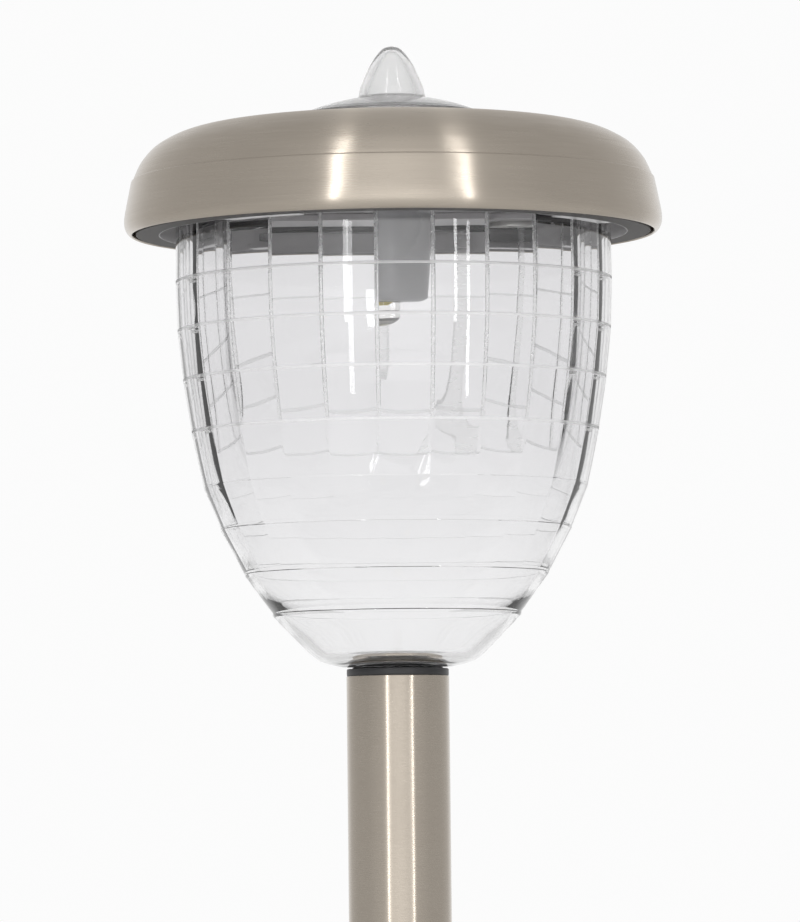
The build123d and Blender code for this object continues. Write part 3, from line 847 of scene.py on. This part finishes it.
# ------------------------------------------------------------ the pieces that stand for CAD nodes
cap = build_cap()
wear(cap, steel)
stand_for(cap, "head", "steel_cap")

lens = build_lens()
wear(lens, lens_clear, ring_frost, rib_frost)
stand_for(lens, "lens", "lens")
lugs = build_lugs()
wear(lugs, lens_clear)
stand_for(lugs, "lens", None)

crown = build_crown()
wear(crown, crown_clear, finial_clear)
stand_for(crown, "head", "crown_cover")

pole = build_pole()
wear(pole, pole_steel)
stand_for(pole, "pole", "pole_tube")

for index, piece in enumerate(build_spike()):
    wear(piece, spike_black)
    stand_for(piece, "spike", None if index else "ground_spike")

cup = build_led_cup()
wear(cup, phosphor("phosphor"))
stand_for(cup, "head", None)

# ------------------------------------------------------------ the CAD nodes that stay
# material, and the width of the rounds on hard edges, in millimetres
dressed = {
    "pole_collar": (collar_black, 0.3),
    "housing_tray": (tray_lit_and_shaded, 0.15),
    "battery_door": (tray_lit_and_shaded, 0.2),
    "switch_knob": (collar_black, 0.15),
    "led_holder": (holder_grey, 0.3),
    "led": (led_epoxy, 0.0),
    "led_leads": (tin, 0.05),
    "crown_gasket": (seal, 0.1),
    "lens_seal": (seal, 0.2),
    "solar_panel_board": (board, 0.1),
    "solar_cells": (solar_cell("silicon"), 0.0),
    "panel_resin": (clear_resin("resin"), 0.0),
    "circuit_board": (board, 0.1),
    "driver_chip": (chip, 0.15),
    "inductor": (ferrite, 0.1),
    "switch_body": (switch_case, 0.2),
    "battery": (battery_sleeve("battery_wrap"), 0.35),
    "positive_contact": (nickel, 0.08),
    "negative_contact": (nickel, 0.08),
    "battery_spring": (spring, 0.0),
    "door_screw": (zinc, 0.15),
    "cap_screws": (zinc, 0.15),
    "panel_wires": (sheath, 0.0),
    "battery_wires": (sheath, 0.0),
    "led_wires": (sheath, 0.0),
}
for name, (material, edge) in dressed.items():
    wear(nodes[name], material)
    if edge:
        soften(nodes[name], edge * MM)


# ------------------------------------------------------------ floor, light and camera
def build_floor():
    """Plain pale disc under the spike's tip."""
    bm = bmesh.new()
    bmesh.ops.create_circle(bm, cap_ends=True, segments=96, radius=FLOOR_RADIUS / MM)
    floor = finish_mesh("floor", bm, base_z=spike_low.z - FLOOR_GAP)
    g = Graph("floor_paper")
    g.set(Base_Color=rgb(0.95, 0.95, 0.945), Roughness=0.8)
    wear(floor, g.material)


def strip_light(name, azimuth, width, power):
    """Tall soft light aimed at the lens."""
    data = bpy.data.lights.new(name, "AREA")
    data.shape = "RECTANGLE"
    data.size = width
    data.size_y = STRIP_LENGTH
    data.energy = power
    light = bpy.data.objects.new(name, data)
    light.visible_camera = False
    angle = radians(azimuth)
    light.location = (sin(angle) * STRIP_DISTANCE, -cos(angle) * STRIP_DISTANCE, STRIP_HEIGHT)
    aim = Vector((0, 0, rim_z - AIM_BELOW_RIM)) - light.location
    light.rotation_euler = aim.to_track_quat("-Z", "Y").to_euler()
    bpy.context.scene.collection.objects.link(light)


def build_world():
    """Soft studio, brighter in front and behind than at the sides, and a plain pale backdrop."""
    world = bpy.data.worlds.new("studio")
    bpy.context.scene.world = world
    world.use_nodes = True
    tree = world.node_tree
    tree.nodes.clear()
    output = tree.nodes.new("ShaderNodeOutputWorld")
    background = tree.nodes.new("ShaderNodeBackground")
    coord = tree.nodes.new("ShaderNodeTexCoord")
    split = tree.nodes.new("ShaderNodeSeparateXYZ")
    depth = tree.nodes.new("ShaderNodeMapRange")
    ramp = tree.nodes.new("ShaderNodeValToRGB")
    camera_ray = tree.nodes.new("ShaderNodeLightPath")
    mix = tree.nodes.new("ShaderNodeMix")
    tree.links.new(coord.outputs["Generated"], split.inputs[0])
    tree.links.new(split.outputs[1], depth.inputs[0])
    front = -1.0
    depth.inputs[1].default_value = front
    tree.links.new(depth.outputs[0], ramp.inputs[0])
    stops = ramp.color_ramp.elements
    while len(stops) < len(WORLD_STOPS):
        stops.new(0.5)
    for stop, (toward_back, strength) in zip(stops, WORLD_STOPS):
        stop.position = (toward_back + 1) / 2
        share = strength / WORLD_PEAK
        stop.color = rgb(share, share, share)
    tree.links.new(camera_ray.outputs["Is Camera Ray"], mix.inputs[0])
    tree.links.new(ramp.outputs[0], mix.inputs[2])
    mix.inputs[3].default_value = BACKDROP / WORLD_PEAK
    tree.links.new(mix.outputs[0], background.inputs[1])
    tree.links.new(background.outputs[0], output.inputs[0])
    background.inputs[0].default_value = rgb(WORLD_PEAK, WORLD_PEAK, WORLD_PEAK)


def build_camera():
    """Long lens at the height of the upper pole, looking slightly up."""
    data = bpy.data.cameras.new("camera")
    data.lens = CAMERA_LENS
    data.sensor_width = 36.0
    data.clip_end = 50
    camera = bpy.data.objects.new("camera", data)
    camera.location = (CAMERA_RIGHT, -CAMERA_DISTANCE, rim_z - CAMERA_BELOW_RIM)
    camera.rotation_mode = "XYZ"
    camera.rotation_euler = (radians(90 + CAMERA_UP), 0, 0)
    camera.rotation_euler.rotate_axis("Z", radians(CAMERA_ROLL))
    bpy.context.scene.collection.objects.link(camera)
    bpy.context.scene.camera = camera


build_floor()
build_world()
strip_light("strip_left", -24.5, 0.065, 2.7)
strip_light("strip_right", 32, 0.04, 2.6)
build_camera()
bpy.context.scene.view_settings.view_transform = "Standard"
